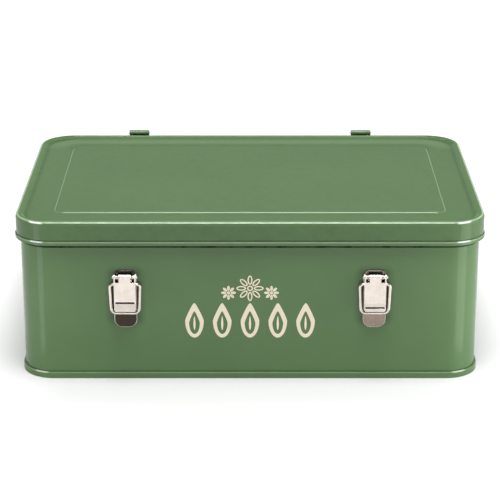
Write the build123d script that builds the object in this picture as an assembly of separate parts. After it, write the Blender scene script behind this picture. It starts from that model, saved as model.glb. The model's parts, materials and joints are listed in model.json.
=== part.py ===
from build123d import *
import os
from math import atan2, ceil, cos, radians, sqrt

# Hinged tinplate storage box with two draw latches.
# Frame: origin on the table under the middle of the body, +X to the right, -Y to the front,
# +Z up. All lengths are millimetres and all angles are degrees.

# ---- Driving dimensions ----------------------------------------------------------------

FULL_TURN = 360

# Tinplate body, its outline taken over the outside of the wall
body_width = 333.6
body_depth = 215.6
body_corner = 22.8
body_height = 119.5  # table to the top of the rolled edge
tin = 0.45  # sheet thickness of body, base and lid
bend_facet = 30.0  # turn taken up by one flat of a bend
edge_roll = 1.6  # outer radius of the edge rolled inwards round the top
edge_turn = 250.0  # angle that the edge is rolled through
edge_facet = 62.5  # turn taken up by one flat of the rolled edge
lap_position = 33.0  # middle of the wall's vertical lap joint, behind
lap_width = 6.0

# Double seam that joins the base to the wall and is the foot of the box
seam_height = 4.7
seam_play = 0.06  # between neighbouring layers
hook_lift = 0.35  # space under the wall's hook
hook_clearance = 0.35  # space over the wall's hook and under the base's
floor_height = 3.4  # table to the underside of the floor
floor_join = 4.0  # width of floor that belongs to the seamed edge

# Lid
skirt_gap = 2.75  # between skirt and wall
skirt_depth = 17.4
hem_height = 2.5
hem_fold = 0.7  # between the middles of the two hem layers
rim_crest = 3.6  # lid's outside to where the rim starts to slope inwards
rim_foot = 6.9  # lid's outside to where that slope meets the ledge
rim_drop = 2.2
rim_bend = 2.6
lid_seat_gap = 0.3  # between the sloping rim and the body's rolled edge
ledge_join = 12.0
panel_inset = 27.5  # lid's outside to the raised panel
panel_corner = 7.0
panel_rise = 0.7
panel_thinning = 0.45  # part of the sheet's thickness by which the pressed step runs inside
rear_relief = 16.0  # length of the lid's rear end that has only a short lip
relief_bend = 3.0

# Partitions
partition_sheet = 0.6
partition_height = 72.0
partition_play = 0.1  # to wall, to floor and in the slots
partition_bend = 0.8
partition_facet = 90.0  # each of their bends is one flat
flange_width = 10.0
fold_height = 6.0
fold_thickness = 1.3
cross_pitch = 83.0

# Lid hinges
hinge_spacing = 182.6
hinge_sheet = 1.0
hinge_width = 16.2
barrel_radius = 2.2
hinge_pin_radius = 1.15
running_clearance = 0.05
hinge_rise = 0.9  # pin above the lid's rim
strap_knuckle = 11.2
knuckle_gap = 0.15
strap_drop = 7.2  # pin to the strap's upper bend
strap_joggle = 6.4
strap_length = 31.0  # pin to the strap's lower end
strap_corner = 3.0
swing_gap = 0.35  # rear lip to wall while the lid swings
leaf_margin = 0.15
pin_proud = 0.3  # hinge pin's end outside the knuckle
fit_gap = 0.05  # between parts that lie against each other

# Draw latches
latch_spacing = 180.2
latch_pin_height = 80.2
plate_sheet = 1.0
plate_width = 16.4
plate_above = 4.4  # plate's top edge above the pin
plate_below = 39.7  # plate's lower edge below the pin
plate_top_corner = 4.2
plate_tab_corner = 6.0
window_above = 3.4
window_below = 3.7
ear_gap = 4.85  # half the space between the two ears
ear_sheet = 1.0
ear_radius = 2.0
pin_stand_off = 2.85  # pin above the plate's face
latch_pin_radius = 1.3
latch_pin_proud = 1.4  # pin's end outside the lever
lever_sheet = 0.9
lever_width = 15.7
lever_length = 25.3
tongue_width = 8.3
notch_depth = 3.5
flange_nose = 2.5
flange_end = 18.0  # pin to where the lever's side flanges run out
finger_start = 19.0
finger_lift = 2.0
finger_bend = 7.0
finger_corner = 2.0
slot_width = 13.9
slot_height = 1.4
slot_drop_left = 19.1  # pin to the middle of the slot
slot_drop_right = 22.5
bail_wire = 1.12  # wire radius
bail_facet = 30.0  # turn between neighbouring flats of the wire
bail_drop = 5.5  # latch pin to the bail's ends
bail_inset = 0.3  # bail's ends nearer to the plate than the pin is
bail_seat = 2.2
bail_shoulder = 11.0
bail_foot = 10.05
bail_length = 22.3
bail_shoulder_bend = 2.6
bail_foot_bend = 3.8
bail_end = 0.75  # bail's ends reach inside the lever's flanges

# ---- Places that follow from them ------------------------------------------------------

lid_overhang = skirt_gap + tin
lid_width = body_width + 2 * lid_overhang
lid_depth = body_depth + 2 * lid_overhang
lid_corner = body_corner + lid_overhang

# The rim's slope rests on the rolled edge, so its height comes from where that edge's
# round meets the slope.
slope_run = rim_foot - rim_crest
slope_angle = atan2(rim_drop, slope_run)
roll_inset = lid_overhang + edge_roll
slope_over_roll = (edge_roll + lid_seat_gap + tin / 2) / cos(slope_angle)
lid_top = (
    body_height - edge_roll + slope_over_roll + tin / 2
    + rim_drop * (roll_inset - rim_crest) / slope_run
)
ledge_top = lid_top - rim_drop
skirt_bottom = lid_top - skirt_depth

hinge_y = lid_depth / 2 + fit_gap + barrel_radius
hinge_z = lid_top + hinge_rise
pin_to_wall = hinge_y - body_depth / 2
pin_to_lip = hinge_y - lid_depth / 2 + tin
pin_to_edge = hinge_z - body_height
lip_reach = sqrt((pin_to_wall - swing_gap) ** 2 + pin_to_edge**2 - pin_to_lip**2)
lip_bottom = hinge_z - lip_reach

floor_top = floor_height + tin
partition_base = floor_top + partition_play
half_height = partition_height / 2

front_wall = -body_depth / 2
pin_out = fit_gap + plate_sheet + pin_stand_off  # latch pin's distance from the wall
barrel_bore = hinge_pin_radius + running_clearance
latch_bore = latch_pin_radius + running_clearance
roll_radius = latch_bore + lever_sheet
bail_out = pin_out - bail_inset


# ---- Sheet-metal helpers ---------------------------------------------------------------


def facetted(path, facet_turn):
    """Ends and corners of a path whose arcs are drawn as straight pieces of a given turn."""
    edges = path.wires()[0].order_edges()
    corners = [edges[0] @ 0]
    for edge in edges:
        pieces = 1
        if edge.geom_type == GeomType.CIRCLE:
            pieces = ceil(edge.length / (edge.radius * radians(facet_turn)) - 0.5)
        corners += [edge @ (piece / pieces) for piece in range(1, pieces + 1)]
    return corners


def sheet_section(path, thickness, facet_turn):
    """Closed section of a sheet whose middle follows a path, mitred at every corner."""
    corners = facetted(path, facet_turn)
    runs = [(end - start).normalized() for start, end in zip(corners, corners[1:])]
    sides = [
        (before + after).cross(Vector(0, 0, thickness / 2)) / (1 + before.dot(after))
        for before, after in zip(runs[:1] + runs, runs + runs[-1:])
    ]
    one_face = [corner + side for corner, side in zip(corners, sides)]
    other_face = [corner - side for corner, side in zip(corners, sides)]
    return make_face(Polyline(*one_face, *reversed(other_face), close=True))


def outline_path(width, depth, corner):
    """Closed rounded rectangle that starts and ends in the middle of the front."""
    x = width / 2 - corner
    y = depth / 2 - corner
    centres = ((x, -y, -90), (x, y, 0), (-x, y, 90), (-x, -y, 180))
    bends = [CenterArc((cx, cy), corner, start, 90) for cx, cy, start in centres]
    front = Vector(0, -depth / 2)
    stops = [front] + [stop for bend in bends for stop in (bend @ 0, bend @ 1)] + [front]
    runs = [Line(stops[i], stops[i + 1]) for i in range(0, len(stops), 2)]
    edges = [runs[0]]
    for bend, run in zip(bends, runs[1:]):
        edges += [bend, run]
    return Wire(edges)


def round_the_box(section, width, depth, corner):
    """Sweep a section round the outline; its first coordinate is the distance inwards."""
    placed = Plane.YZ * Pos(-depth / 2, 0) * section
    return sweep(placed, path=outline_path(width, depth, corner))


def inset_plate(width, depth, corner, inset, bottom, thickness):
    """Flat plate inside an outline, lying from a height upwards."""
    shape = RectangleRounded(width - 2 * inset, depth - 2 * inset, corner - inset)
    return Pos(0, 0, bottom) * extrude(shape, thickness)


def along_x(section, width):
    """Extrude a section drawn in Y and Z to both sides of the middle plane."""
    return extrude(Plane.YZ * section, width / 2, both=True)


def bar_x(radius, start, end):
    """Round bar along X between two places."""
    return Pos((start + end) / 2, 0, 0) * Rot(Y=90) * Cylinder(radius, end - start)


def strip(section, width, end, corner):
    """Sheet strip with a Y and Z section, its two corners at the lower end rounded."""
    front = Plane.XZ * RectangleRounded(width, 2 * end, corner)
    return along_x(section, width) & extrude(front, end, both=True)


def on_both_sides(spacing, make):
    """Left and right copies of one thing, named by side."""
    return {
        side: Pos(sign * spacing / 2, 0, 0) * make
        for side, sign in (("left", -1), ("right", 1))
    }


# ---- Body and base ---------------------------------------------------------------------


def body_wall():
    """Wall ring: hook inside the base seam, straight side, edge rolled inwards."""
    middle = tin / 2
    hook = -(1.5 * tin + 2 * seam_play)
    hook_top = seam_height - 2 * tin - seam_play - hook_clearance
    low = 1.5 * tin + hook_lift
    roll = edge_roll - tin / 2
    roll_height = body_height - edge_roll
    side = Polyline((hook, hook_top), (hook, low), (middle, low), (middle, roll_height))
    roll = CenterArc((middle + roll, roll_height), roll, 180, -edge_turn)
    centre_line = Wire([*side.edges(), roll.edge()])
    section = sheet_section(centre_line, tin, edge_facet)
    return round_the_box(section, body_width, body_depth, body_corner) + wall_lap()


def wall_lap():
    """Second layer of sheet where the wall's two ends overlap, on the inside."""
    low = partition_base + tin
    high = body_height - 2 * edge_roll
    inside = body_depth / 2 - tin
    shape = Pos(lap_position, inside - tin / 2, (low + high) / 2)
    return shape * Box(lap_width, tin, high - low)


def base_panel():
    """Recessed floor with its edge seamed round the wall's hook."""
    layer = tin + seam_play
    inner = layer + tin / 2
    outer = -(2.5 * tin + 3 * seam_play)
    cover = -(seam_play + tin / 2)
    low = tin / 2
    top = seam_height - tin / 2
    level = floor_height + tin / 2
    hook_end = 2 * tin + hook_lift + hook_clearance
    countersink = ((floor_join, level), (inner, level), (inner, low))
    seam = ((outer, low), (outer, top), (cover, top), (cover, hook_end))
    section = sheet_section(Polyline(*countersink, *seam), tin, bend_facet)
    edge = round_the_box(section, body_width, body_depth, body_corner)
    floor = inset_plate(body_width, body_depth, body_corner, floor_join, floor_height, tin)
    return edge + floor


# ---- Partitions ------------------------------------------------------------------------


def partition_blank(length):
    """Upright sheet along X with a flange at each end and its top edge folded over."""
    end = length / 2 - partition_sheet / 2
    centre_line = FilletPolyline(
        (-end, flange_width), (-end, 0), (end, 0), (end, flange_width), radius=partition_bend
    )
    section = sheet_section(centre_line, partition_sheet, partition_facet)
    upright = extrude(section, partition_height)
    fold_length = length - 2 * (partition_bend + partition_sheet)
    fold = Pos(
        0, (partition_sheet - fold_thickness) / 2, partition_height - fold_height / 2
    ) * Box(fold_length, fold_thickness, fold_height)
    return Pos(0, 0, partition_base) * (upright + fold)


def long_partition():
    """Partition from side to side, slotted from above for the cross partitions."""
    blank = partition_blank(body_width - 2 * (tin + partition_play))
    middle = partition_base + half_height
    slot = Pos(0, 0, middle + half_height / 2) * Box(
        partition_sheet + 2 * partition_play, 4 * fold_thickness, half_height
    )
    notch_height = fold_height + partition_play
    notch = Pos(0, 0, partition_base + partition_height - notch_height / 2) * Box(
        2 * (fold_thickness + partition_play) - partition_sheet,
        4 * fold_thickness,
        notch_height,
    )
    for column in (-1, 0, 1):
        blank -= Pos(column * cross_pitch, 0, 0) * (slot + notch)
    return blank


def cross_partition(column):
    """Partition from front to back, slotted from below; flanges point to the middle."""
    blank = partition_blank(body_depth - 2 * (tin + partition_play))
    slot_top = half_height + partition_play
    slot = Pos(0, 0, partition_base + slot_top / 2) * Box(
        partition_sheet + 2 * partition_play, 4 * fold_thickness, slot_top
    )
    turn = 90 if column > 0 else -90
    return Pos(column * cross_pitch, 0, 0) * Rot(Z=turn) * (blank - slot)


# ---- Lid -------------------------------------------------------------------------------


def lid_edge():
    """Ledge, raised rim, skirt and folded hem as one bent sheet."""
    middle = tin / 2
    low = skirt_bottom + tin / 2
    skirt = Polyline(
        (middle, lid_top - rim_bend),
        (middle, low),
        (middle - hem_fold, low),
        (middle - hem_fold, skirt_bottom + hem_height),
    )
    bend = rim_bend - tin / 2
    rim = CenterArc((rim_bend, lid_top - rim_bend), bend, 90, 90)
    top = Polyline(
        (ledge_join, ledge_top - middle),
        (rim_foot, ledge_top - middle),
        (rim_crest, lid_top - middle),
        (rim_bend, lid_top - middle),
    )
    centre_line = Wire([*top.edges(), rim.edge(), *skirt.edges()])
    section = sheet_section(centre_line, tin, bend_facet)
    return round_the_box(section, lid_width, lid_depth, lid_corner)


def panel_step(inset, bottom):
    """Solid between two rounded rectangles, its sides sloping in at 45 degrees."""
    outlines = [
        Pos(0, 0, bottom + step)
        * RectangleRounded(
            lid_width - 2 * (inset + step), lid_depth - 2 * (inset + step), panel_corner - step
        )
        for step in (0, panel_rise)
    ]
    return loft(outlines)


def rear_relief_cutter():
    """What is cut from the skirt behind, so that the lid can swing past the wall."""
    front = lid_depth / 2 - rear_relief
    back = lid_depth / 2 + lid_overhang
    side = Pos((front + back) / 2, (lip_bottom + skirt_bottom - hem_height) / 2) * Rectangle(
        back - front, lip_bottom - skirt_bottom + hem_height
    )
    inner_corner = side.vertices().sort_by(Axis.Y)[-2:].sort_by(Axis.X)[0]
    return along_x(fillet(inner_corner, relief_bend), lid_width + 4 * hem_fold)


def lid_shell():
    """Pressed lid: rim, skirt and a panel raised a little inside a flat ledge."""
    sheet = lid_edge()
    sheet += inset_plate(
        lid_width, lid_depth, lid_corner, ledge_join, ledge_top - tin, tin
    )
    sheet += panel_step(panel_inset, ledge_top)
    sheet -= panel_step(panel_inset + panel_thinning * tin, ledge_top - tin)
    return sheet - rear_relief_cutter()


# ---- Hinges ----------------------------------------------------------------------------


def barrel(bore):
    """Section of a rolled knuckle round the hinge pin."""
    return Circle(barrel_radius) - Circle(bore)


def hinge_strap():
    """Strap down the rear wall, joggled out and rolled round the middle of the pin."""
    back = barrel_radius - hinge_sheet / 2
    on_wall = fit_gap + hinge_sheet / 2 - pin_to_wall
    centre_line = FilletPolyline(
        (back, 0),
        (back, -strap_drop),
        (on_wall, -strap_drop - strap_joggle),
        (on_wall, -strap_length),
        radius=2 * hinge_sheet,
    )
    section = sheet_section(centre_line, hinge_sheet, bend_facet) - Circle(barrel_bore)
    strap = strip(section, hinge_width, strap_length, strap_corner)
    shoulder = (hinge_width - strap_knuckle) / 2
    for sign in (-1, 1):
        strap -= Pos(sign * (hinge_width - shoulder) / 2, 0, 0) * Box(
            shoulder, 4 * barrel_radius, 3 * barrel_radius
        )
    strap += along_x(barrel(barrel_bore), strap_knuckle)
    return Pos(0, hinge_y, hinge_z) * strap


def hinge_pin():
    """Plain pin, a little longer than the knuckles."""
    end = hinge_width / 2 + pin_proud
    return Pos(0, hinge_y, hinge_z) * bar_x(hinge_pin_radius, -end, end)


def lid_leaf():
    """Leaf on the lid's rear lip, with a rolled knuckle at each end."""
    low = -lip_reach + leaf_margin
    plate = Pos(0, -barrel_radius + hinge_sheet / 2, low / 2) * Box(
        hinge_width, hinge_sheet, -low
    )
    leaf = plate + along_x(Circle(barrel_radius), hinge_width)
    opening = strap_knuckle + 2 * knuckle_gap
    window = barrel_radius + 2 * knuckle_gap
    leaf -= Box(opening, 4 * barrel_radius, 2 * window)
    leaf -= bar_x(barrel_bore, -hinge_width, hinge_width)
    return Pos(0, hinge_y, hinge_z) * leaf


# ---- Draw latches ----------------------------------------------------------------------
# Each latch part is drawn with its origin on the wall's face at the height of the latch pin.


def at_latch(shape):
    """Left and right copies of a latch part on the front wall."""
    placed = Pos(0, front_wall, latch_pin_height) * shape
    return on_both_sides(latch_spacing, placed)


def latch_plate():
    """Base plate with a window behind the pin and an ear bent up on each side of it."""
    height = plate_above + plate_below
    blank = Rectangle(plate_width, height)
    blank = fillet(blank.vertices().group_by(Axis.Y)[0], plate_tab_corner)
    blank = fillet(blank.vertices().group_by(Axis.Y)[-1], plate_top_corner)
    plate = extrude(Plane.XZ * Pos(0, (plate_above - plate_below) / 2) * blank, plate_sheet)
    window = Pos(0, -plate_sheet / 2, (window_above - window_below) / 2) * Box(
        2 * ear_gap, 2 * plate_sheet, window_above + window_below
    )
    plate = Pos(0, -fit_gap, 0) * (plate - window)
    reach = pin_out - fit_gap
    ear = Pos(-fit_gap - reach / 2, 0) * Rectangle(reach, 2 * ear_radius)
    ear += Pos(-pin_out, 0) * Circle(ear_radius)
    ear -= Pos(-pin_out, 0) * Circle(latch_pin_radius + running_clearance)
    blade = along_x(ear, ear_sheet)
    for sign in (-1, 1):
        plate += Pos(sign * (ear_gap + ear_sheet / 2), 0, 0) * blade
    return plate


def latch_pin():
    """Plain pin through ears, tongue and flanges."""
    end = lever_width / 2 + latch_pin_proud
    return Pos(0, -pin_out, 0) * bar_x(latch_pin_radius, -end, end)


def lever_flange():
    """Side flange of the lever, drawn in Y and Z round the latch pin."""
    bail_spot = (bail_inset, -bail_drop)
    end_spot = (-roll_radius + lever_sheet, -flange_end)
    discs = Sketch() + [
        Circle(flange_nose),
        Pos(*bail_spot) * Circle(bail_seat),
        Pos(*end_spot) * Circle(lever_sheet),
    ]
    blank = make_hull(discs.edges())
    front = Pos(-roll_radius - lever_length / 2, 0) * Rectangle(lever_length, 3 * lever_length)
    return blank - front


def latch_lever(slot_drop):
    """Lever: tongue rolled round the pin, side flanges, cross slot and finger lip."""
    face = -roll_radius + lever_sheet / 2
    centre_line = FilletPolyline(
        (face, 0), (face, -finger_start), (face - finger_lift, -lever_length), radius=finger_bend
    )
    section = sheet_section(centre_line, lever_sheet, bend_facet)
    lever = strip(section, lever_width, lever_length, finger_corner)
    side_gap = (lever_width - tongue_width) / 2 - lever_sheet
    for sign in (-1, 1):
        notch = Box(side_gap, 4 * lever_sheet, 2 * notch_depth)
        lever -= Pos(sign * (tongue_width + side_gap) / 2, face, 0) * notch
        flange = along_x(lever_flange(), lever_sheet)
        lever += Pos(sign * (lever_width - lever_sheet) / 2, 0, 0) * flange
    lever += along_x(Circle(roll_radius), tongue_width)
    lever -= bar_x(latch_bore, -lever_width, lever_width)
    lever -= Pos(0, bail_inset, -bail_drop) * bar_x(
        bail_wire + running_clearance, -lever_width, lever_width
    )
    lever -= Pos(0, face - finger_lift / 2, -slot_drop) * Box(
        slot_width, 4 * lever_sheet, slot_height
    )
    return Pos(0, -pin_out, 0) * lever


def latch_bail():
    """Wire bail: ends turned in through the lever's flanges, closed by a bar below."""
    end = lever_width / 2 - lever_sheet - bail_end
    foot = -bail_drop - bail_length
    centre_line = FilletPolyline(
        (-end, -bail_drop),
        (-bail_shoulder, -bail_drop),
        (-bail_foot, foot),
        (bail_foot, foot),
        (bail_shoulder, -bail_drop),
        (end, -bail_drop),
        radius=[bail_shoulder_bend, bail_foot_bend, bail_foot_bend, bail_shoulder_bend],
    )
    path = Plane.XZ * Polyline(*facetted(centre_line, bend_facet))
    start = Plane(origin=(-end, 0, -bail_drop), z_dir=(-1, 0, 0))
    section = start * RegularPolygon(bail_wire, round(FULL_TURN / bail_facet))
    return Pos(0, -bail_out, 0) * sweep(section, path=path, transition=Transition.RIGHT)


# ---- Assembly --------------------------------------------------------------------------


def all_nodes():
    """Every separate piece under its own name."""
    nodes = {
        "body_wall": body_wall(),
        "base_panel": base_panel(),
        "long_partition": long_partition(),
        "lid_shell": lid_shell(),
    }
    for column, name in ((-1, "left"), (0, "middle"), (1, "right")):
        nodes[f"cross_partition_{name}"] = cross_partition(column)
    pairs = {
        "hinge_strap": on_both_sides(hinge_spacing, hinge_strap()),
        "hinge_pin": on_both_sides(hinge_spacing, hinge_pin()),
        "lid_leaf": on_both_sides(hinge_spacing, lid_leaf()),
        "latch_plate": at_latch(latch_plate()),
        "latch_pin": at_latch(latch_pin()),
        "latch_bail": at_latch(latch_bail()),
    }
    for name, pair in pairs.items():
        for side, shape in pair.items():
            nodes[f"{name}_{side}"] = shape
    nodes["latch_lever_left"] = at_latch(latch_lever(slot_drop_left))["left"]
    nodes["latch_lever_right"] = at_latch(latch_lever(slot_drop_right))["right"]
    return nodes


os.makedirs("parts", exist_ok=True)
for node, shape in all_nodes().items():
    export_step(shape, f"parts/{node}.step")
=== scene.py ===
import json
from math import pi, radians, sin, tan
from typing import NamedTuple

import bmesh
import bpy
from bpy.props import FloatProperty, FloatVectorProperty, IntProperty, PointerProperty
from mathutils import Matrix, Vector


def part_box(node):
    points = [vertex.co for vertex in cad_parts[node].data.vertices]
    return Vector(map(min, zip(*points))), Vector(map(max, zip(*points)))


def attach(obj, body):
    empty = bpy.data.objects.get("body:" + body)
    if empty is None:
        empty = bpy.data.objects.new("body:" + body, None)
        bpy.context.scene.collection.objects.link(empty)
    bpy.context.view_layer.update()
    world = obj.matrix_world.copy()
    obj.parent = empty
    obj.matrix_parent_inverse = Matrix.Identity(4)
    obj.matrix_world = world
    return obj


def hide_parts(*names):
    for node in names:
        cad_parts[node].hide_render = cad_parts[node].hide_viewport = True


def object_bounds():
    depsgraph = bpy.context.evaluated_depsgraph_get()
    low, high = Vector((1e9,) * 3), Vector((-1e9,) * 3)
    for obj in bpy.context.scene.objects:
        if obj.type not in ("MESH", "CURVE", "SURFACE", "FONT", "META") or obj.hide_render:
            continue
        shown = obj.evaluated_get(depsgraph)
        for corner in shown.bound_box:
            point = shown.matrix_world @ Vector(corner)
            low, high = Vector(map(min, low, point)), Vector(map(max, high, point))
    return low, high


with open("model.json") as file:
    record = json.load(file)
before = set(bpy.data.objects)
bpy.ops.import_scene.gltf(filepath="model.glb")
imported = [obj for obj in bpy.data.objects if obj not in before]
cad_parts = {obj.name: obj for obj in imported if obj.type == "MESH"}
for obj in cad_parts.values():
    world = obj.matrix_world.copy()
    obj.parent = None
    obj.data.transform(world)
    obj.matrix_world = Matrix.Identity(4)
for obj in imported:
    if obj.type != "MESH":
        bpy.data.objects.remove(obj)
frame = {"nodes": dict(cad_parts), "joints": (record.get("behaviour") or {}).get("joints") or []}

bl_info = {
    "name": "Enamelled Latch Box",
    "version": (1, 0, 0),
    "blender": (4, 5, 0),
    "location": "3D View > Sidebar > Latch Box",
    "description": "Dresses a hinged tinplate box with two draw latches",
    "category": "Object",
}

MM = 0.001
CAD_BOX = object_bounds()
SIDES = ("left", "right")
PIVOTS = {joint["name"]: Vector(joint["pos_m"]) for joint in frame["joints"]}
BEFORE_ALL, BEYOND_ALL = -1.0, 1.0  # places outside the whole box, on its low and high sides
FRONT_ENDS = 0.9 * CAD_BOX[0].y  # marks on the front wall fade behind this place
SMOOTH_TO = radians(42)
WHITE = (1.0, 1.0, 1.0, 1.0)

# Sizes of the sheet-metal parts that the frame doesn't give
FIT_GAP = 0.05 * MM  # between fittings and the sheet that they lie on
TIN = 0.45 * MM
FITTING_SHEET = 1.0 * MM  # thickness of plates and straps
HEM_HEIGHT = 2.5 * MM
HEM_OUT = 0.7 * MM  # hem's outside beyond the lid's
LID_CORNER = 26.0 * MM
RIM_DROP = 2.2 * MM
PANEL_INSET = 27.5 * MM  # lid's outside to the raised panel
PANEL_CORNER = 7.0 * MM
CORNER_GLINT = 153 * MM  # middle to the painted glints on the front corners
LATCH_RIVETS = (8.5 * MM, 14.5 * MM)  # below the latch pin
STRAP_RIVETS = (18.5 * MM, 26.5 * MM)  # below the hinge pin


# ---- Settings --------------------------------------------------------------------------


def colour(name, description, default):
    """Colour property in linear values."""
    return FloatVectorProperty(
        name=name, description=description, default=default, size=3, min=0, max=1,
        subtype="COLOR",
    )


def share(name, description, default):
    """Factor property from nought to one."""
    return FloatProperty(
        name=name, description=description, default=default, min=0, max=1, subtype="FACTOR"
    )


def length(name, description, default):
    """Length property in metres."""
    return FloatProperty(
        name=name, description=description, default=default, unit="LENGTH", precision=5
    )


class EnamelSettings(bpy.types.PropertyGroup):
    """Stoved enamel on the tinplate"""

    tint: colour("Colour", "Sage green of the enamel", (0.094, 0.178, 0.068))
    shine: share("Roughness", "Blur of the enamel's body", 0.45)
    gloss: share("Specular", "Strength of the body's reflections", 0.05)
    varnish: share("Varnish", "Share of the clear top coat", 0.60)
    varnish_shine: share("Varnish roughness", "Blur of the clear top coat", 0.14)
    mottle: share("Mottle", "Uneven depth of colour", 0.07)
    # Painted highlight: paler enamel along the rim crest, the hem, the seam and the panel's edges,
    # laid where their highlights fall
    painted_highlight: colour("Rubbed", "Paler enamel along the raised edges", (0.38, 0.52, 0.33))
    # Painted glints: near-white enamel on the front corners of the rim, the hem and the seam
    painted_glint: colour("Worn", "Enamel polished nearly white", (0.86, 0.90, 0.83))
    # Painted shade: the share of the colour that is left in crevices, under the lid's hem, under
    # the knuckles and round the latches
    painted_shade: share("Grimy", "Share of the colour that is left in the crevices", 0.05)
    edge: length("Edge radius", "Rounding of the sheet's edges", 0.20 * MM)


class NickelSettings(bpy.types.PropertyGroup):
    """Nickel plate on the latches"""

    tint: colour("Colour", "Warm white of the plating", (0.65, 0.585, 0.53))
    # Polished edges, brighter than the plating, which also paint the edges' highlights
    bright: colour("Edge colour", "Polished stamped edges", (0.95, 0.92, 0.88))
    # Painted reflection: the left plate painted nearly black for the dark that it mirrors
    left_tab_dark_reflection: colour("Left tab", "Darkened plating of the left plate", (0.045, 0.035, 0.028))
    # Painted reflection: the right plate painted dim for what it mirrors
    right_tab_dim_reflection: colour("Right tab", "Dull plating of the right plate", (0.245, 0.197, 0.160))
    shine: share("Roughness", "Blur of the plating's reflections", 0.28)
    edge: length("Edge radius", "Rounding of the stamped edges", 0.30 * MM)
    pin_end: length("Pin end", "Rounding of the riveted pin ends", 0.85 * MM)


class WireSettings(bpy.types.PropertyGroup):
    """Wire bails, measured from the lever's bail holes"""

    radius: length("Radius", "Half the wire's thickness", 1.12 * MM)
    end: length("End", "Middle to the wire's inner ends", 6.2 * MM)
    shoulder: length("Shoulder", "Middle to the upper corners", 11.0 * MM)
    foot: length("Foot", "Middle to the lower corners", 10.05 * MM)
    drop: length("Drop", "Holes to the lower bar", 22.3 * MM)
    shoulder_bend: length("Shoulder bend", "Radius of the upper corners", 2.6 * MM)
    foot_bend: length("Foot bend", "Radius of the lower corners", 3.8 * MM)


class PrintSettings(bpy.types.PropertyGroup):
    """Screen print on the front wall"""

    tint: colour("Colour", "Cream of the ink", (0.90, 0.80, 0.62))
    film: length("Film", "Thickness of the ink", 0.03 * MM)
    seeds: IntProperty(name="Seeds", description="Seeds in the row", default=5, min=1)
    seed_height: length("Seed height", "Length of one seed", 27.0 * MM)
    seed_width: length("Seed width", "Breadth of one seed", 13.6 * MM)
    pitch: length("Pitch", "From seed to seed", 20.2 * MM)
    row: length("Row height", "Middle of the seeds above the table", 45.2 * MM)
    stroke: length("Stroke", "Breadth of the printed lines", 2.9 * MM)
    petals: IntProperty(name="Petals", description="Petals of a flower", default=8, min=3)
    petal: length("Petal", "Length of the middle flower's petals", 9.6 * MM)
    flowers: length("Flower height", "Middle of the flowers above the table", 70.2 * MM)
    fine_stroke: length("Fine stroke", "Breadth of the flowers' lines", 0.95 * MM)


class StageSettings(bpy.types.PropertyGroup):
    """Camera, lamps and floor"""

    distance: length("Distance", "Camera in front of the box's middle", 1.3415)
    height: length("Height", "Camera above the table", 0.5487)
    tilt: FloatProperty(
        name="Tilt", description="Camera's look below the horizon", default=radians(20),
        subtype="ANGLE",
    )
    lens: FloatProperty(name="Lens", description="Focal length in millimetres", default=131.87)
    sky: share("Sky", "Strength of the even light from all round", 0.30)
    floor: colour("Floor colour", "Pale sweep under the box", (0.55, 0.55, 0.55))
    # near glow and shadow reach paint a shadow on the floor: less white glow near the box
    near_glow: share("Near glow", "White added where the floor is seen under the box", 0.165)
    shadow: length("Shadow", "Reach of the shadow in front of the box", 150 * MM)
    far_glow: share("Far glow", "White added where the floor is seen away from it", 0.62)
    distant_glow: share("Distant glow", "White added where the unlit floor far off is seen", 0.85)


class LatchBoxSettings(bpy.types.PropertyGroup):
    """All settings of the box"""

    enamel: PointerProperty(type=EnamelSettings)
    nickel: PointerProperty(type=NickelSettings)
    wire: PointerProperty(type=WireSettings)
    ink: PointerProperty(type=PrintSettings)
    stage: PointerProperty(type=StageSettings)


# ---- Shader kit ------------------------------------------------------------------------


class Value:
    """A number that varies over a surface, with Python's arithmetic."""

    def __init__(self, nodes, socket):
        self.nodes, self.socket = nodes, socket

    def combine(self, operation, first, second=0.0):
        return self.nodes.node("ShaderNodeMath", {"operation": operation}, {0: first, 1: second})

    def __add__(self, other):
        return self.combine("ADD", self, other)

    __radd__ = __add__

    def __sub__(self, other):
        return self.combine("SUBTRACT", self, other)

    def __rsub__(self, other):
        return self.combine("SUBTRACT", other, self)

    def __mul__(self, other):
        return self.combine("MULTIPLY", self, other)

    __rmul__ = __mul__

    def __pow__(self, other):
        return self.combine("POWER", self, other)

    def __abs__(self):
        return self.combine("ABSOLUTE", self)

    def most(self, other):
        return self.combine("MAXIMUM", self, other)

    def ramp(self, low, high):
        """Smooth step from nought at low to one at high."""
        return self.nodes.node(
            "ShaderNodeMapRange",
            {"interpolation_type": "SMOOTHSTEP"},
            {"Value": self, "From Min": low, "From Max": high},
        )


class Nodes:
    """A node tree under construction."""

    def __init__(self, tree):
        self.tree = tree
        tree.nodes.clear()

    def node(self, kind, settings=None, inputs=None, output=0):
        """Add a node, set it, feed its sockets and hand back one output."""
        made = self.tree.nodes.new(kind)
        for name, setting in (settings or {}).items():
            setattr(made, name, setting)
        for key, given in (inputs or {}).items():
            if isinstance(given, Value):
                self.tree.links.new(given.socket, made.inputs[key])
            else:
                made.inputs[key].default_value = given
        return Value(self, made.outputs[output]) if made.outputs else None

    def blend(self, share_of_second, first, second):
        """Mix of two colours."""
        return self.node(
            "ShaderNodeMix",
            {"data_type": "RGBA"},
            {0: share_of_second, 6: rgba(first), 7: rgba(second)},
            output=2,
        )

    def seen(self):
        """One for rays from the camera, from mirrors and through glass."""
        camera, glossy, transmission = (
            self.node("ShaderNodeLightPath", output=ray)
            for ray in ("Is Camera Ray", "Is Glossy Ray", "Is Transmission Ray")
        )
        return camera.most(glossy).most(transmission)


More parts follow.
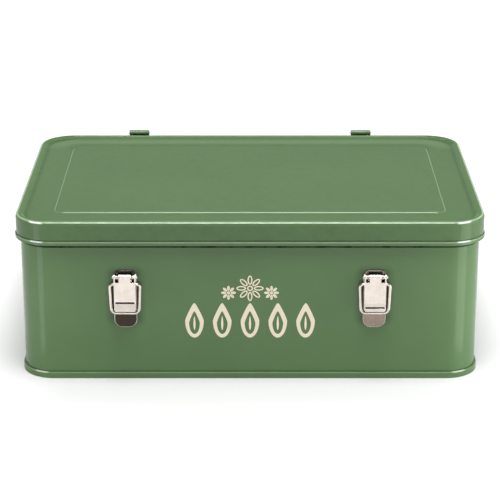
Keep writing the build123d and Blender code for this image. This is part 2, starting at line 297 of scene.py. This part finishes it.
class Finish(Nodes):
    """A material under construction."""

    def __init__(self, name):
        self.material = bpy.data.materials.new(name)
        self.material.use_nodes = True
        super().__init__(self.material.node_tree)
        self.place = self.node("ShaderNodeTexCoord", output="Object")
        self.x, self.y, self.z = (
            self.node("ShaderNodeSeparateXYZ", inputs={"Vector": self.place}, output=axis)
            for axis in "XYZ"
        )

    def stretched(self, x, y, z):
        """Object coordinates stretched along the axes."""
        return self.node("ShaderNodeMapping", inputs={"Vector": self.place, "Scale": (x, y, z)})

    def noise(self, size, detail=3.0, roughness=0.55, vector=None):
        """Noise about 0.5 whose patches are about one size, in metres, across."""
        return self.node(
            "ShaderNodeTexNoise",
            inputs={
                "Vector": vector or self.place, "Scale": 1 / size, "Detail": detail,
                "Roughness": roughness,
            },
            output=0,
        )

    def specks(self, size):
        """Distance to the nearest of many scattered points, in their own scale."""
        return self.node(
            "ShaderNodeTexVoronoi", inputs={"Vector": self.place, "Scale": 1 / size},
            output="Distance",
        )

    def near_height(self, height, inner, outer):
        """One within the inner distance of a height, nought beyond the outer."""
        return 1 - abs(self.z - height).ramp(inner, outer)

    def outside_upright(self, x, z, half_width, half_height):
        """Distance outside two upright rectangles on the front, mirrored left to right."""
        aside = (abs(abs(self.x) - x) - half_width).most(0)
        above = (abs(self.z - z) - half_height).most(0)
        behind = (self.y - FRONT_ENDS).most(0)
        return (aside * aside + above * above + behind * behind) ** 0.5

    def outside_flat(self, half_width, half_depth):
        """Distance outside a rectangle round the origin, seen from above."""
        aside = (abs(self.x) - half_width).most(0)
        behind = (abs(self.y) - half_depth).most(0)
        return (aside * aside + behind * behind) ** 0.5

    def bump(self, height, depth):
        """Normal from a height between nought and one."""
        return self.node(
            "ShaderNodeBump", inputs={"Height": height, "Distance": depth, "Strength": 1.0}
        )

    def surface(self, colour_in, roughness, normal, constants):
        """Principled surface, with what stays the same set on its own sockets."""
        inputs = {"Base Color": rgba(colour_in), "Roughness": roughness, "Normal": normal}
        shader = self.node("ShaderNodeBsdfPrincipled", inputs={**inputs, **constants})
        self.node("ShaderNodeOutputMaterial", inputs={"Surface": shader})
        return self.material


def rgba(tint):
    """Four numbers of a plain colour, or a linked colour as it is."""
    return tint if isinstance(tint, Value) else (*tint, 1.0)


def shade(tint, factor):
    """The same colour, lighter or darker."""
    return tuple(min(channel * factor, 1.0) for channel in tint)


# ---- Finishes --------------------------------------------------------------------------


class Band(NamedTuple):
    """Mark round the box, full within the inner distance of a height, gone at the outer."""

    tone: str
    amount: float
    height: float
    inner: float
    outer: float


class Ring(NamedTuple):
    """Mark on the lid, at a reach from a core rectangle that is seen from above."""

    tone: str
    amount: float
    core: tuple
    reach: float
    inner: float
    outer: float
    low: float = BEFORE_ALL
    behind: float = BEFORE_ALL


class Shadow(NamedTuple):
    """Painted shadow round an upright rectangle on the front, on the left and on the right."""

    amount: float
    reach: float
    x: float
    z: float
    half_width: float
    half_height: float


def enamel(name, bands=(), rings=(), shadows=(), bands_end=BEYOND_ALL):
    """Green stoved enamel: faint mottle, orange peel, painted highlights and glints along raised
    edges, and painted shade in crevices and round fittings.
    """
    chosen = settings().enamel
    finish = Finish(name)
    cloud = finish.noise(45 * MM).ramp(0.25, 0.75)
    grain = finish.noise(1.3 * MM, detail=1.0)
    swing = chosen.mottle / 2
    tint = finish.blend(cloud, shade(chosen.tint, 1 - swing), shade(chosen.tint, 1 + swing))
    dust = 1 - finish.specks(3.1 * MM).ramp(0.045, 0.075)
    tint = finish.blend(dust * 0.10, tint, shade(chosen.tint, 1.6))
    uneven = finish.noise(7 * MM, detail=4.0).ramp(0.45, 0.66) * 0.25 + 0.75
    tones = {
        "painted_highlight": tuple(chosen.painted_highlight),
        "painted_shade": shade(chosen.tint, chosen.painted_shade),
        "painted_glint": tuple(chosen.painted_glint),
    }
    # where the painted glints go: the front corners only
    front_corners = 1 - abs(abs(finish.x) - CORNER_GLINT).ramp(3 * MM, 6 * MM)
    front_corners = front_corners * (1 - finish.y.ramp(-94 * MM, -88 * MM))
    places = {"painted_highlight": uneven, "painted_shade": uneven, "painted_glint": front_corners}
    ahead = 1 - finish.y.ramp(bands_end - 10 * MM, bands_end)
    marks = [
        (band.tone, finish.near_height(*band[2:]) * ahead * band.amount) for band in bands
    ]
    for ring in rings:
        outside = finish.outside_flat(*ring.core)
        near = 1 - abs(outside - ring.reach).ramp(ring.inner, ring.outer)
        above = finish.z.ramp(ring.low, ring.low + 0.5 * MM)
        behind = finish.y.ramp(ring.behind, ring.behind + 25 * MM)
        marks.append((ring.tone, near * above * behind * ring.amount))
    varnish = chosen.varnish
    for tone, near in marks:
        mark = near * places[tone]
        tint = finish.blend(mark, tint, tones[tone])
        if tone == "painted_shade":
            varnish = varnish * (1 - mark)
    for shadow in shadows:
        near = 1 - finish.outside_upright(*shadow[2:]).ramp(0, shadow.reach)
        tint = finish.blend(near * shadow.amount, tint, tones["painted_shade"])
    roughness = chosen.shine + (cloud - 0.5) * 0.06 + (grain - 0.5) * 0.05
    return finish.surface(
        tint, roughness, finish.bump(grain, 0.006 * MM),
        {
            "Specular IOR Level": chosen.gloss, "Coat Weight": varnish,
            "Coat Roughness": chosen.varnish_shine,
        },
    )


def nickel(name, tint, painted_shade_from=BEYOND_ALL, painted_shade_to=BEYOND_ALL, satin_below=BEFORE_ALL):
    """Nickel plate with fine upright polishing lines and a few dull spots.

    It is painted nearly black between two heights, as painted shade, and has a duller satin surface
    below another.
    """
    shine = settings().nickel.shine
    fade = 1 * MM
    finish = Finish(name)
    lines = finish.noise(1.0, detail=2.0, vector=finish.stretched(2600, 2600, 120))
    cloud = finish.noise(6 * MM).ramp(0.3, 0.7)
    blend = finish.blend(cloud, shade(tint, 0.93), shade(tint, 1.04))
    spots = 1 - finish.specks(2.3 * MM).ramp(0.05, 0.09)
    blend = finish.blend(spots * 0.25, blend, shade(tint, 0.6))
    over = finish.z.ramp(painted_shade_from, painted_shade_from + fade)
    under = 1 - finish.z.ramp(painted_shade_to, painted_shade_to + fade)
    blend = finish.blend(over * under * 0.95, blend, shade(tint, 0.08))
    satin = 1 - finish.z.ramp(satin_below - fade, satin_below)
    roughness = shine + (lines - 0.5) * 0.16 + spots * 0.15 + satin * 0.2
    return finish.surface(
        blend, roughness, finish.bump(lines, 0.004 * MM), {"Metallic": 1 - satin * 0.75}
    )


def tinplate(name):
    """Bare tinplate: rolling lines along the sheet and grey spangle."""
    finish = Finish(name)
    lines = finish.noise(1.0, detail=2.0, vector=finish.stretched(60, 60, 3200))
    spangle = finish.noise(5 * MM, detail=2.0).ramp(0.35, 0.65)
    tint = finish.blend(spangle, (0.53, 0.54, 0.53), (0.64, 0.65, 0.63))
    roughness = 0.36 + (lines - 0.5) * 0.2 + spangle * 0.05
    return finish.surface(tint, roughness, finish.bump(lines, 0.003 * MM), {"Metallic": 1.0})


def ink(name):
    """Screen ink: flat cream with the mesh's faint weave and a few thin spots."""
    tint = settings().ink.tint
    finish = Finish(name)
    weave = finish.noise(0.5 * MM, detail=1.0)
    thin = finish.noise(2.5 * MM).ramp(0.62, 0.75)
    blend = finish.blend(thin * 0.12, tint, shade(tint, 0.8))
    roughness = 0.55 + (weave - 0.5) * 0.1
    return finish.surface(
        blend, roughness, finish.bump(weave, 0.006 * MM), {"Specular IOR Level": 0.3}
    )


# ---- Making pieces ---------------------------------------------------------------------


def settings():
    return bpy.context.scene.latch_box


def piece(name, builder, finishes, body, replaced=(), edge=0.0):
    """Turn a bmesh into a finished piece; its last finish goes on the rounded edges."""
    bmesh.ops.recalc_face_normals(builder, faces=builder.faces)
    mesh = bpy.data.meshes.new(name)
    builder.to_mesh(mesh)
    builder.free()
    for finish in finishes:
        mesh.materials.append(finish)
    mesh.shade_smooth()
    mesh.set_sharp_from_angle(angle=SMOOTH_TO)
    made = bpy.data.objects.new(name, mesh)
    bpy.context.scene.collection.objects.link(made)
    if edge:
        bevel = made.modifiers.new("rounded_edges", "BEVEL")
        bevel.width = edge
        bevel.segments = 3
        bevel.limit_method = "ANGLE"
        bevel.angle_limit = SMOOTH_TO
        bevel.material = len(finishes) - 1
    weighted = made.modifiers.new("flat_faces_stay_flat", "WEIGHTED_NORMAL")
    weighted.keep_sharp = True
    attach(made, body)
    if replaced:
        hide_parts(*replaced)
    return made


def dress(node, name, finishes, body, edge):
    """Piece of a node's own form, its flats made whole, with rounded edges and a finish."""
    builder = bmesh.new()
    builder.from_mesh(frame["nodes"][node].data)
    bmesh.ops.remove_doubles(builder, verts=builder.verts, dist=0.0005 * MM)
    bmesh.ops.dissolve_limit(
        builder, angle_limit=radians(0.2), verts=builder.verts, edges=builder.edges
    )
    return piece(name, builder, finishes, body, (node,), edge)


def button(builder, place, radius, height):
    """Round rivet head, spun about its own axis."""
    profile = ((0, 0), (1, 0), (0.96, 0.42), (0.78, 0.78), (0.45, 0.96), (0, 1))
    points = [
        builder.verts.new(place @ Vector((out * radius, 0, up * height))) for out, up in profile
    ]
    outline = [builder.edges.new(pair) for pair in zip(points, points[1:])]
    bmesh.ops.spin(
        builder, geom=points + outline, cent=place.translation, axis=place.col[2].xyz,
        angle=2 * pi, steps=24, use_merge=True, use_duplicate=False,
    )
    bmesh.ops.remove_doubles(builder, verts=builder.verts, dist=0.001 * MM)


class Wire:
    """Round wire drawn along straights and bends."""

    def __init__(self, radius, start, heading, turning_axis, sides=16):
        self.builder = bmesh.new()
        self.at, self.heading, self.axis = start, heading, turning_axis
        bmesh.ops.create_circle(
            self.builder, cap_ends=True, radius=radius, segments=sides,
            matrix=Matrix.Translation(start) @ heading.to_track_quat("Z", "Y").to_matrix().to_4x4(),
        )
        self.end = list(self.builder.edges)

    def straight(self, run):
        made = bmesh.ops.extrude_edge_only(self.builder, edges=self.end)["geom"]
        points = [part for part in made if isinstance(part, bmesh.types.BMVert)]
        bmesh.ops.translate(self.builder, verts=points, vec=self.heading * run)
        self.end = [
            part for part in made
            if isinstance(part, bmesh.types.BMEdge) and all(v in points for v in part.verts)
        ]
        self.at = self.at + self.heading * run

    def bend(self, radius, angle, steps=9):
        centre = self.at + self.axis.cross(self.heading) * radius
        made = bmesh.ops.spin(
            self.builder, geom=self.end, cent=centre, axis=self.axis, angle=angle, steps=steps,
            use_duplicate=False,
        )["geom_last"]
        self.end = [part for part in made if isinstance(part, bmesh.types.BMEdge)]
        turn = Matrix.Rotation(angle, 3, self.axis)
        self.at = centre + turn @ (self.at - centre)
        self.heading = turn @ self.heading

    def cut(self):
        """Close the last end."""
        bmesh.ops.contextual_create(self.builder, geom=self.end)
        return self.builder


class OBJECT_OT_latch_box_tin(bpy.types.Operator):
    """Enamel the wall and the seamed base"""

    bl_idname = "object.latch_box_tin"
    bl_label = "Wall and base"

    def execute(self, context):
        chosen = settings().enamel
        seam_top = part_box("base_panel")[1].z
        skirt_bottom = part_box("lid_shell")[0].z
        pin = PIVOTS["lever_right_pivot"]
        wall = enamel(
            "green_enamel_wall",
            bands=(
                # painted shade: dark band on the wall just under the lid's hem
                Band("painted_shade", 1.0, skirt_bottom - 1.1 * MM, 1.5 * MM, 1.8 * MM),
                # painted shade: dark line just above the seamed base
                Band("painted_shade", 0.55, seam_top + 0.35 * MM, 0.2 * MM, 0.6 * MM),
            ),
            bands_end=100 * MM,
            shadows=(
                # painted shadows round each latch: a soft halo, a dark patch behind the lever and
                # bail, and near black in the plate's window
                Shadow(0.36, 8 * MM, pin.x, pin.z - 16 * MM, 8 * MM, 17 * MM),
                Shadow(0.85, 2 * MM, pin.x, pin.z - 17 * MM, 9 * MM, 8 * MM),
                Shadow(0.95, 0.5 * MM, pin.x, pin.z - 0.1 * MM, 4.8 * MM, 3.6 * MM),
            ),
        )
        base = enamel(
            "green_enamel_base",
            bands=(
                # painted highlight along the seam's top
                Band("painted_highlight", 0.20, seam_top - 0.3 * MM, 0.25 * MM, 0.7 * MM),
                # painted glints on the seam at the front corners
                Band("painted_glint", 0.50, seam_top - 0.2 * MM, 0.25 * MM, 0.6 * MM),
            ),
        )
        dress("body_wall", "enamelled_wall", (wall,), "box", chosen.edge)
        dress("base_panel", "enamelled_base", (base,), "box", chosen.edge)
        return {"FINISHED"}


class OBJECT_OT_latch_box_lid(bpy.types.Operator):
    """Enamel the pressed lid"""

    bl_idname = "object.latch_box_lid"
    bl_label = "Lid"

    def execute(self, context):
        chosen = settings().enamel
        low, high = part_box("lid_shell")
        hem_top = low.z + HEM_HEIGHT
        rim_low = high.z - RIM_DROP
        outside = (high.x - HEM_OUT, -low.y - HEM_OUT)
        lid_core = tuple(half - LID_CORNER for half in outside)
        panel_core = tuple(half - PANEL_INSET - PANEL_CORNER for half in outside)
        panel_edge = PANEL_CORNER - 0.2 * MM
        finish = enamel(
            "green_enamel_lid",
            bands=(
                # painted shade: the skirt a little darker than the wall
                Band("painted_shade", 0.19, hem_top + 7 * MM, 6.5 * MM, 9 * MM),
                # painted highlight along the hem's top edge
                Band("painted_highlight", 0.75, hem_top + 0.05 * MM, 0.3 * MM, 0.6 * MM),
                # painted glints on the hem at the front corners
                Band("painted_glint", 0.9, hem_top + 0.05 * MM, 0.3 * MM, 0.7 * MM),
                # painted shade: dark line just above the hem
                Band("painted_shade", 0.90, hem_top + 0.85 * MM, 0.25 * MM, 0.55 * MM),
            ),
            rings=(
                # painted highlight along the rim's crest
                Ring("painted_highlight", 0.80, lid_core, LID_CORNER - 1.4 * MM, 0.4 * MM, 0.9 * MM, rim_low),
                # painted glints on the rim at the front corners
                Ring("painted_glint", 0.9, lid_core, LID_CORNER - 0.8 * MM, 0.2 * MM, 0.6 * MM, rim_low),
                # painted shade on the rim's inner slope at the rear
                Ring(
                    "painted_shade", 0.16, lid_core, LID_CORNER - 5.2 * MM, 1.2 * MM, 1.8 * MM,
                    behind=80 * MM,
                ),
                # painted shade along the rim's inner foot
                Ring("painted_shade", 0.25, lid_core, LID_CORNER - 7.4 * MM, 0.5 * MM, 2.0 * MM),
                # painted highlight along the panel's edge, stronger on the sides and at the rear
                Ring("painted_highlight", 0.07, panel_core, panel_edge, 0.3 * MM, 0.7 * MM),
                Ring(
                    "painted_highlight", 0.34, panel_core, panel_edge, 0.3 * MM, 0.7 * MM,
                    behind=-93 * MM,
                ),
                # painted highlight on the ledge at the rear
                Ring(
                    "painted_highlight", 0.15, panel_core, PANEL_CORNER + 15 * MM, 4 * MM, 9 * MM,
                    behind=70 * MM,
                ),
                # painted shade at the panel's foot at the rear
                Ring(
                    "painted_shade", 0.40, panel_core, PANEL_CORNER + 1.2 * MM, 0.8 * MM, 1.8 * MM,
                    behind=64 * MM,
                ),
            ),
        )
        dress("lid_shell", "enamelled_lid", (finish,), "lid", chosen.edge)
        return {"FINISHED"}


class OBJECT_OT_latch_box_hinges(bpy.types.Operator):
    """Enamel both hinges"""

    bl_idname = "object.latch_box_hinges"
    bl_label = "Hinges"

    def execute(self, context):
        chosen = settings().enamel
        knuckle = PIVOTS["lid_hinge"].z
        finish = enamel(
            "green_enamel_hinge",
            # painted shade under the knuckles
            bands=(Band("painted_shade", 0.95, knuckle - 1.1 * MM, 0.8 * MM, 1.3 * MM),),
        )
        for side in SIDES:
            for node, body in (("hinge_strap", "box"), ("hinge_pin", "box"), ("lid_leaf", "lid")):
                dress(
                    f"{node}_{side}", f"enamelled_{node}_{side}", (finish,), body,
                    chosen.edge,
                )
        return {"FINISHED"}


class OBJECT_OT_latch_box_partitions(bpy.types.Operator):
    """Give the partitions their bare tinplate"""

    bl_idname = "object.latch_box_partitions"
    bl_label = "Partitions"

    def execute(self, context):
        finish = tinplate("bare_tinplate")
        for node in (
            "long_partition", "cross_partition_left", "cross_partition_middle",
            "cross_partition_right",
        ):
            dress(node, f"bare_{node}", (finish,), "box", 0.1 * MM)
        return {"FINISHED"}


class OBJECT_OT_latch_box_latches(bpy.types.Operator):
    """Plate the latches' base plates, pins and levers"""

    bl_idname = "object.latch_box_latches"
    bl_label = "Latches"

    def execute(self, context):
        chosen = settings().nickel
        pin = PIVOTS["lever_left_pivot"].z
        face = nickel("nickel_lever", chosen.tint, satin_below=pin - 19 * MM)
        # stamped edges in the polished colour, which also paints their highlights
        bright = nickel("nickel_edge", chosen.bright)
        # painted shade on the plate's edges above the pin
        plate_edge = nickel("nickel_plate_edge", chosen.bright, painted_shade_from=pin + 1 * MM)
        # painted shade on the plate where it lies behind the lever
        behind_lever = {"painted_shade_from": pin - 28 * MM, "painted_shade_to": pin - 2.6 * MM}
        # plates painted in the colours of their reflections, the left darker than the right
        tabs = {
            "left": nickel("nickel_plate_left", chosen.left_tab_dark_reflection, **behind_lever),
            "right": nickel("nickel_plate_right", chosen.right_tab_dim_reflection, **behind_lever),
        }
        for side in SIDES:
            dress(
                f"latch_plate_{side}", f"plated_tab_{side}", (tabs[side], plate_edge), "box",
                chosen.edge,
            )
            dress(
                f"latch_pin_{side}", f"plated_pin_{side}", (face,), "box",
                chosen.pin_end,
            )
            dress(
                f"latch_lever_{side}", f"plated_lever_{side}", (face, bright),
                f"lever_{side}", chosen.edge,
            )
        return {"FINISHED"}


class OBJECT_OT_latch_box_bails(bpy.types.Operator):
    """Bend the wire bails"""

    bl_idname = "object.latch_box_bails"
    bl_label = "Bails"

    def execute(self, context):
        chosen = settings().wire
        finish = nickel("nickel_wire", settings().nickel.tint)
        leg = Vector((chosen.shoulder - chosen.foot, 0, -chosen.drop))
        shoulder_turn = Vector((-1, 0, 0)).angle(leg)
        foot_turn = Vector((1, 0, 0)).angle(leg)
        shoulder_cut = chosen.shoulder_bend * tan(shoulder_turn / 2)
        foot_cut = chosen.foot_bend * tan(foot_turn / 2)
        leg_run = leg.length - shoulder_cut - foot_cut
        for side in SIDES:
            start = PIVOTS[f"bail_{side}_pivot"] - Vector((chosen.end, 0, 0))
            wire = Wire(chosen.radius, start, Vector((-1, 0, 0)), Vector((0, -1, 0)))
            wire.straight(chosen.shoulder - chosen.end - shoulder_cut)
            wire.bend(chosen.shoulder_bend, shoulder_turn)
            wire.straight(leg_run)
            wire.bend(chosen.foot_bend, foot_turn)
            wire.straight(2 * (chosen.foot - foot_cut))
            wire.bend(chosen.foot_bend, foot_turn)
            wire.straight(leg_run)
            wire.bend(chosen.shoulder_bend, shoulder_turn)
            wire.straight(chosen.shoulder - chosen.end - shoulder_cut)
            piece(
                f"plated_bail_{side}", wire.cut(), (finish,), f"bail_{side}",
                (f"latch_bail_{side}",),
            )
        return {"FINISHED"}


class OBJECT_OT_latch_box_rivets(bpy.types.Operator):
    """Head the rivets of the latches and hinges, outside and inside"""

    bl_idname = "object.latch_box_rivets"
    bl_label = "Rivets"

    def execute(self, context):
        latch_heads, box_heads = bmesh.new(), bmesh.new()
        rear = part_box("hinge_strap_left")[0].y - FIT_GAP
        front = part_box("latch_plate_left")[1].y + FIT_GAP
        strap, tab = rear + FIT_GAP + FITTING_SHEET, front - FIT_GAP - FITTING_SHEET
        hinge = PIVOTS["lid_hinge"]
        for side in SIDES:
            pin = PIVOTS[f"lever_{side}_pivot"]
            for below in LATCH_RIVETS:
                self.head(latch_heads, (pin.x, tab, pin.z - below), -1, 2.2, 0.7)
                self.head(box_heads, (pin.x, front + TIN, pin.z - below), 1, 1.8, 0.4)
            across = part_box(f"hinge_strap_{side}")
            middle = (across[0].x + across[1].x) / 2
            for below in STRAP_RIVETS:
                self.head(box_heads, (middle, strap, hinge.z - below), 1, 2.3, 0.8)
                self.head(box_heads, (middle, rear - TIN, hinge.z - below), -1, 1.8, 0.4)
        plating = nickel("nickel_rivet", settings().nickel.tint)
        piece("latch_rivet_heads", latch_heads, (plating,), "box")
        coating = enamel("green_enamel_rivet")
        piece("box_rivet_heads", box_heads, (coating,), "box")
        return {"FINISHED"}

    def head(self, builder, place, outwards, radius, height):
        """Head that faces the front or the rear, its radius and height in millimetres."""
        stand = Matrix.Rotation(-outwards * pi / 2, 4, "X")
        button(builder, Matrix.Translation(place) @ stand, radius * MM, height * MM)


def oval(builder, place, half_width, half_length, point, filled=False):
    """Loop of an oval, its upper end drawn to a point."""
    made = bmesh.ops.create_circle(builder, cap_ends=filled, radius=1.0, segments=40)["verts"]
    for vert in made:
        pull = max(vert.co.y, 0) * point
        vert.co = (vert.co.x * half_width * (1 - pull), vert.co.y * half_length, 0)
    bmesh.ops.transform(builder, matrix=place, verts=made)
    return list({edge for vert in made for edge in vert.link_edges})


def outline(builder, place, half_width, half_length, stroke, point=0.0):
    """Flat ring between two ovals, one stroke apart."""
    lower = Matrix.Translation((0, -point * stroke, 0))
    rings = oval(builder, place, half_width, half_length, point) + oval(
        builder, place @ lower, half_width - stroke, half_length - (1 + point) * stroke, point
    )
    bmesh.ops.bridge_loops(builder, edges=rings)


class OBJECT_OT_latch_box_print(bpy.types.Operator):
    """Print the row of seeds and the flowers on the front wall"""

    bl_idname = "object.latch_box_print"
    bl_label = "Print"

    def execute(self, context):
        chosen = settings().ink
        builder = bmesh.new()
        half = (chosen.seeds - 1) / 2
        for number in range(chosen.seeds):
            place = Matrix.Translation(((number - half) * chosen.pitch, chosen.row, 0))
            outline(
                builder, place, chosen.seed_width / 2, chosen.seed_height / 2, chosen.stroke, 0.6
            )
            oval(
                builder, place @ Matrix.Translation((0, -0.08 * chosen.seed_height, 0)),
                0.28 * chosen.stroke, 0.20 * chosen.seed_height, 0.3, filled=True,
            )
        for aside, size in ((-1.62, 0.55), (0, 1), (1.62, 0.55)):
            middle = Matrix.Translation(
                (aside * chosen.petal, chosen.flowers - (1 - size) * 0.8 * chosen.petal, 0)
            )
            self.flower(builder, middle, size * chosen.petal, chosen)
        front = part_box("latch_plate_left")[1].y + FIT_GAP
        stand = Matrix.Translation((0, front, 0)) @ Matrix.Rotation(pi / 2, 4, "X")
        bmesh.ops.transform(builder, matrix=stand, verts=builder.verts)
        solid = bmesh.ops.extrude_face_region(builder, geom=builder.faces)["geom"]
        points = [part for part in solid if isinstance(part, bmesh.types.BMVert)]
        bmesh.ops.translate(builder, verts=points, vec=(0, -chosen.film, 0))
        piece("printed_seeds", builder, (ink("cream_ink"),), "box")
        return {"FINISHED"}

    def flower(self, builder, middle, petal, chosen):
        """Outlined petals round a small ring."""
        for number in range(chosen.petals):
            turn = Matrix.Rotation(2 * pi * number / chosen.petals, 4, "Z")
            place = middle @ turn @ Matrix.Translation((0, 0.66 * petal, 0))
            outline(builder, place, 0.19 * petal, 0.37 * petal, chosen.fine_stroke)
        outline(builder, middle, 0.22 * petal, 0.22 * petal, chosen.fine_stroke)


class Lamp(NamedTuple):
    """Rectangular lamp, its place and sizes in metres and its power in watts"""

    name: str
    place: tuple
    width: float
    height: float
    power: float


LAMPS_FACE = Vector((0, 0, 0.06))
LAMPS = (
    Lamp("overhead_softbox", (0.05, -0.40, 1.90), 0.8, 1.0, 40.0),
    Lamp("rear_strip", (0.0, 0.90, 1.32), 1.2, 0.1, 3.0),
    Lamp("front_lamp", (0.0, -1.70, 0.30), 0.8, 0.3, 2.4),
    Lamp("right_lamp", (1.50, -0.35, 0.25), 1.2, 0.5, 7.0),
    Lamp("left_lamp", (-1.45, -0.80, 0.15), 0.3, 0.3, 1.2),
    Lamp("right_corner_strip", (0.188, -0.133, 0.066), 0.034, 0.13, 0.028),
    Lamp("left_corner_strip", (-0.183, -0.141, 0.066), 0.020, 0.13, 0.012),
)
FLOOR_SIZE = 60.0  # half the floor's width
FLOOR_GAP = 0.05 * MM  # floor under the box
SHADOW_INSET = 45 * MM  # box's side to where the floor's painted shadow, its weaker glow, starts to fade
FAR_OFF = (2.0, 5.0)  # from the box to where the floor turns white
HORIZON = (radians(8), radians(12))  # rise at which the sky's white fades


class OBJECT_OT_latch_box_stage(bpy.types.Operator):
    """Set the floor, the lamps and the camera"""

    bl_idname = "object.latch_box_stage"
    bl_label = "Stage"

    def execute(self, context):
        chosen = settings().stage
        self.lay_floor(context, chosen)
        self.light_sky(context, chosen)
        for lamp in LAMPS:
            self.hang(context, lamp)
        self.set_camera(context, chosen)
        context.scene.view_settings.view_transform = "Standard"
        return {"FINISHED"}

    def lay_floor(self, context, chosen):
        """Pale sweep that keeps the box's shadow, darkened further by a painted shadow of weaker
        glow near the box, and fades to white.
        """
        builder = bmesh.new()
        bmesh.ops.create_grid(builder, x_segments=1, y_segments=1, size=FLOOR_SIZE)
        bmesh.ops.translate(builder, verts=builder.verts, vec=(0, 0, -FLOOR_GAP))
        mesh = bpy.data.meshes.new("pale_floor")
        builder.to_mesh(mesh)
        builder.free()
        finish = Finish("pale_sweep")
        tone = finish.noise(0.4).ramp(0.2, 0.8)
        tint = finish.blend(tone, shade(chosen.floor, 0.99), shade(chosen.floor, 1.01))
        # painted shadow: the floor's white glow is weaker within the shadow's reach of the box
        outside = finish.outside_flat(CAD_BOX[1].x - SHADOW_INSET, CAD_BOX[1].y)
        glow = finish.blend(
            outside.ramp(0, chosen.shadow), (chosen.near_glow,) * 3, (chosen.far_glow,) * 3
        )
        glow = finish.blend(outside.ramp(*FAR_OFF), glow, (chosen.distant_glow,) * 3)
        mesh.materials.append(
            finish.surface(
                tint, 0.9 + (tone - 0.5) * 0.05, finish.bump(tone, 0.01 * MM),
                {
                    "Specular IOR Level": 0.0, "Emission Strength": 1.0,
                    "Emission Color": finish.blend(finish.seen(), (0, 0, 0), glow),
                },
            )
        )
        floor = bpy.data.objects.new("pale_floor", mesh)
        context.scene.collection.objects.link(floor)

    def light_sky(self, context, chosen):
        """Even pale light from all round, seen as white low over the horizon."""
        world = bpy.data.worlds.new("pale_sky")
        context.scene.world = world
        world.use_nodes = True
        sky = Nodes(world.node_tree)
        heading = sky.node("ShaderNodeTexCoord", output="Object")
        rise = sky.node("ShaderNodeSeparateXYZ", inputs={"Vector": heading}, output="Z")
        horizon = 1 - rise.ramp(*(sin(angle) for angle in HORIZON))
        white = sky.node(
            "ShaderNodeBackground",
            inputs={
                "Color": WHITE,
                "Strength": sky.seen() * horizon * (1 - chosen.sky) + chosen.sky,
            },
        )
        sky.node("ShaderNodeOutputWorld", inputs={"Surface": white})

    def hang(self, context, lamp):
        """Hang one lamp so that it lights the box and isn't seen."""
        light = bpy.data.lights.new(lamp.name, "AREA")
        light.shape = "RECTANGLE"
        light.size = lamp.width
        light.size_y = lamp.height
        light.energy = lamp.power
        hung = bpy.data.objects.new(lamp.name, light)
        hung.location = lamp.place
        heading = LAMPS_FACE - hung.location
        hung.rotation_euler = heading.to_track_quat("-Z", "Y").to_euler()
        hung.visible_camera = False
        context.scene.collection.objects.link(hung)

    def set_camera(self, context, chosen):
        """Camera in front of the box, looking a little down."""
        camera = bpy.data.cameras.new("front_camera")
        camera.lens = chosen.lens
        camera.sensor_width = 36
        placed = bpy.data.objects.new("front_camera", camera)
        placed.location = (0, -chosen.distance, chosen.height)
        placed.rotation_euler = (pi / 2 - chosen.tilt, 0, 0)
        context.scene.collection.objects.link(placed)
        context.scene.camera = placed


PIECES = (
    OBJECT_OT_latch_box_tin,
    OBJECT_OT_latch_box_lid,
    OBJECT_OT_latch_box_hinges,
    OBJECT_OT_latch_box_partitions,
    OBJECT_OT_latch_box_latches,
    OBJECT_OT_latch_box_bails,
    OBJECT_OT_latch_box_rivets,
    OBJECT_OT_latch_box_print,
    OBJECT_OT_latch_box_stage,
)


class VIEW3D_PT_latch_box(bpy.types.Panel):
    """Settings and pieces of the latch box"""

    bl_idname = "VIEW3D_PT_latch_box"
    bl_label = "Latch Box"
    bl_space_type = "VIEW_3D"
    bl_region_type = "UI"
    bl_category = "Latch Box"

    def draw(self, context):
        chosen = context.scene.latch_box
        for group in (chosen.enamel, chosen.nickel, chosen.wire, chosen.ink, chosen.stage):
            column = self.layout.column(align=True)
            for name in group.__annotations__:
                column.prop(group, name)
        for operator in PIECES:
            self.layout.operator(operator.bl_idname)


CLASSES = (
    EnamelSettings, NickelSettings, WireSettings, PrintSettings, StageSettings,
    LatchBoxSettings, *PIECES, VIEW3D_PT_latch_box,
)


def register():
    for entry in CLASSES:
        bpy.utils.register_class(entry)
    bpy.types.Scene.latch_box = PointerProperty(type=LatchBoxSettings)


def unregister():
    del bpy.types.Scene.latch_box
    for entry in reversed(CLASSES):
        bpy.utils.unregister_class(entry)


def main():
    """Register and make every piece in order."""
    register()
    for operator in PIECES:
        family, name = operator.bl_idname.split(".")
        getattr(getattr(bpy.ops, family), name)()


if __name__ == "__main__":
    main()
